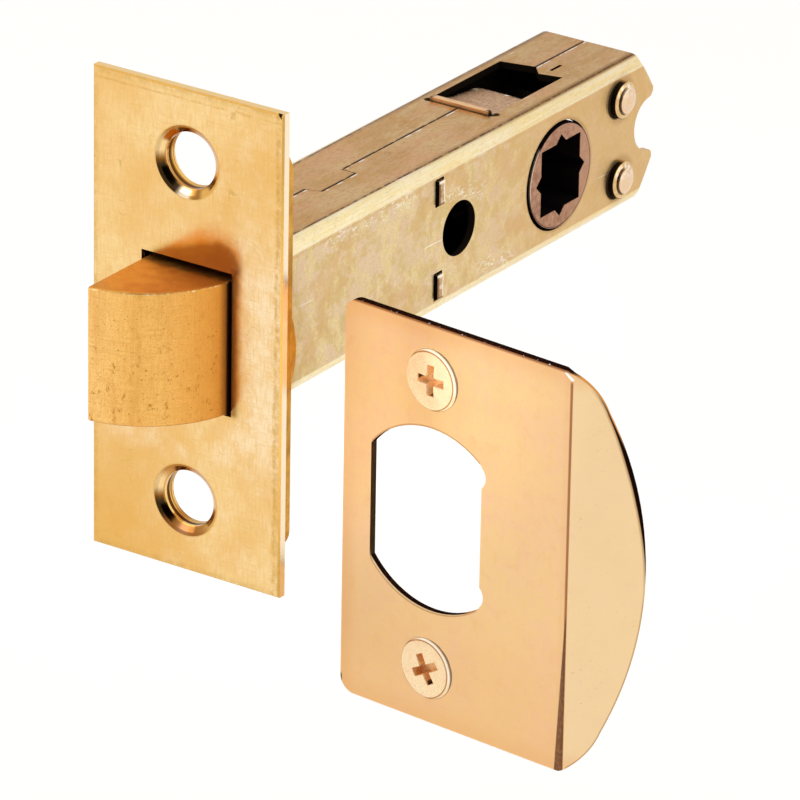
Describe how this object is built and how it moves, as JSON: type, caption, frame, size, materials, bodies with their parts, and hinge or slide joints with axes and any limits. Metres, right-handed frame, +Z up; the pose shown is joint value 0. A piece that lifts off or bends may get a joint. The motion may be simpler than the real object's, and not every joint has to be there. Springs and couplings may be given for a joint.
{
  "type": "passage door latch with strike plate",
  "caption": "Tubular spring latch for a passage door, with a bevelled bolt, a spindle hub and a full-lip strike plate with its screws.",
  "frame": {"origin": "middle of the two faceplate screw holes, in the faceplate's front face", "axes": "+Z up the door's edge, +Y into the door along the case, the bolt's nose towards -Y, +X across the door's thickness"},
  "size_m": [0.063, 0.0942, 0.074],
  "materials": {
    "faceplate_brass": "satin",
    "backing_steel": "yellow zinc",
    "case_steel": "yellow zinc",
    "bolt_brass": "machined",
    "shank_steel": "plain",
    "pin_steel": "plain",
    "washer_steel": "plain",
    "bolt_spring_wire": "oiled wire",
    "retractor_steel": "yellow zinc",
    "retractor_spring_wire": "oiled wire",
    "stop_steel": "yellow zinc",
    "hub_alloy": "die-cast, copper tinted",
    "rivet_steel": "yellow zinc",
    "strike_brass": "satin",
    "screw_steel": "brass plated"
  },
  "bodies": {
    "latch_body": {"faceplate": "faceplate_brass", "backing_plate": "backing_steel", "latch_case": "case_steel", "spring_stop": "stop_steel", "tail_rivets": "rivet_steel", "retractor_spring": "retractor_spring_wire", "strike_plate": "strike_brass", "strike_screws": "screw_steel"},
    "slide": {"retractor": "retractor_steel", "bolt_spring": "bolt_spring_wire"},
    "bolt": {"latch_bolt": "bolt_brass", "bolt_shank": "shank_steel", "bolt_pin": "pin_steel", "shank_washer": "washer_steel"},
    "hub": {"hub": "hub_alloy"}
  },
  "joints": [
    {"name": "hub_turn", "type": "hinge", "parent": "latch_body", "child": "hub", "pos_m": [0, 0.0635, -0.00025], "axis": [-1, 0, 0], "range_deg": [0, 81.7]},
    {"name": "retractor_slide", "type": "slide", "parent": "latch_body", "child": "slide", "axis": [0, 1, 0], "range_m": [0, 0.0104], "stiffness_N_per_m": 600, "springref_m": -0.012, "deforming": ["retractor_spring"]},
    {"name": "bolt_slide", "type": "slide", "parent": "slide", "child": "bolt", "axis": [0, 1, 0], "range_m": [0, 0.0106], "stiffness_N_per_m": 300, "springref_m": -0.01, "deforming": ["bolt_spring"]}
  ],
  "couplings": [
    {"joint": "hub_turn", "follows": "retractor_slide", "rad_per_m": 137.1}
  ]
}
